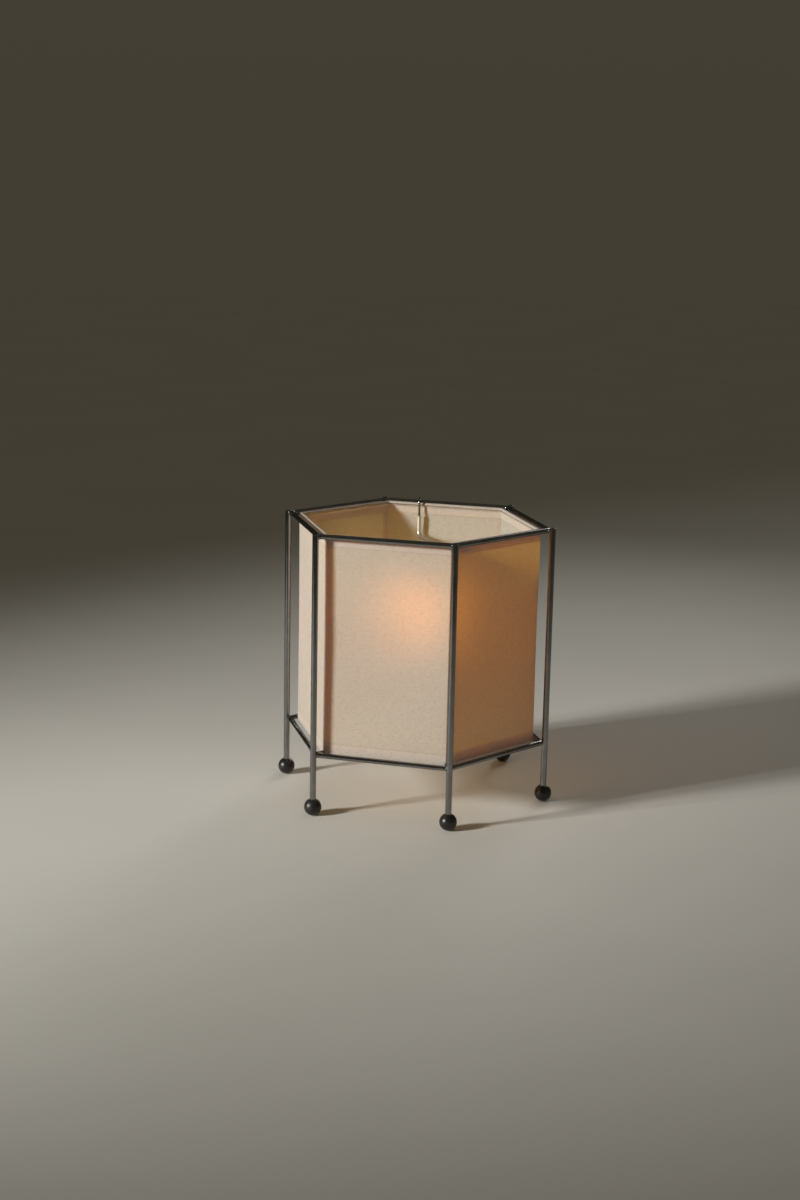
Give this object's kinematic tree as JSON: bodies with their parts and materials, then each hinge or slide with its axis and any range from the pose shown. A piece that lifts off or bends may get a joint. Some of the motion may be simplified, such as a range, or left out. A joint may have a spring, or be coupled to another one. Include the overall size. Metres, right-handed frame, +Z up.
{
  "type": "table lamp",
  "caption": "Low hexagonal table lamp: bright rod frame on black ball feet, translucent cloth shade inside it, small bulb on an arm hooked over the rear rail.",
  "frame": {"origin": "on the surface the lamp stands on, below the lamp's axis", "axes": "+Z up along the lamp's axis, -Y towards the front corner of the hexagon, +X to the right"},
  "size_m": [0.2526, 0.289, 0.2803],
  "materials": {
    "bright_rod": "polished chromed steel rod",
    "black_ball": "satin black",
    "shade_wire": "plain wire",
    "shade_cloth": "translucent off-white cloth, fine plain weave",
    "arm_metal": "bright metal",
    "nut_metal": "zinc-plated",
    "holder_plastic": "black moulded",
    "insert_ceramic": "unglazed white",
    "contact_brass": "plain",
    "bulb_glass": "frosted, lit warm",
    "bulb_cap_metal": "rolled thread",
    "cap_insulator": "black glass insulator",
    "stem_glass": "clear",
    "filament": "glowing wire"
  },
  "bodies": {
    "frame": {"top_rail": "bright_rod", "bottom_rail": "bright_rod", "shade_top_wire": "shade_wire", "shade_bottom_wire": "shade_wire", "leg_front": "bright_rod", "foot_front": "black_ball", "top_peg_front": "bright_rod", "bottom_peg_front": "bright_rod", "leg_right_front": "bright_rod", "foot_right_front": "black_ball", "top_peg_right_front": "bright_rod", "bottom_peg_right_front": "bright_rod", "leg_right_rear": "bright_rod", "foot_right_rear": "black_ball", "top_peg_right_rear": "bright_rod", "bottom_peg_right_rear": "bright_rod", "leg_rear": "bright_rod", "foot_rear": "black_ball", "top_peg_rear": "bright_rod", "bottom_peg_rear": "bright_rod", "leg_left_rear": "bright_rod", "foot_left_rear": "black_ball", "top_peg_left_rear": "bright_rod", "bottom_peg_left_rear": "bright_rod", "leg_left_front": "bright_rod", "foot_left_front": "black_ball", "top_peg_left_front": "bright_rod", "bottom_peg_left_front": "bright_rod", "shade_panel_front_right": "shade_cloth", "shade_panel_right": "shade_cloth", "shade_panel_rear_right": "shade_cloth", "shade_panel_rear_left": "shade_cloth", "shade_panel_left": "shade_cloth", "shade_panel_front_left": "shade_cloth", "shade_top_hem": "shade_cloth", "shade_bottom_hem": "shade_cloth"},
    "arm": {"arm_hook": "arm_metal", "arm_rod": "arm_metal", "arm_eye": "arm_metal", "holder_locknut": "nut_metal", "holder_nipple": "nut_metal", "cord_grip": "holder_plastic", "holder_cap": "holder_plastic", "holder_shell": "holder_plastic", "holder_insert": "insert_ceramic", "terminal_screws": "contact_brass", "thread_sleeve": "contact_brass", "centre_contact": "contact_brass"},
    "bulb": {"bulb_glass": "bulb_glass", "bulb_cap": "bulb_cap_metal", "bulb_cap_insulator": "cap_insulator", "bulb_tip": "nut_metal", "bulb_stem": "stem_glass", "bulb_filament": "filament"}
  },
  "joints": [
    {"name": "arm_lift", "type": "slide", "parent": "frame", "child": "arm", "axis": [0, 0, 1], "range_m": [0, 0.12]},
    {"name": "bulb_out", "type": "slide", "parent": "arm", "child": "bulb", "axis": [0, 0, -1], "range_m": [0, 0.03]}
  ]
}
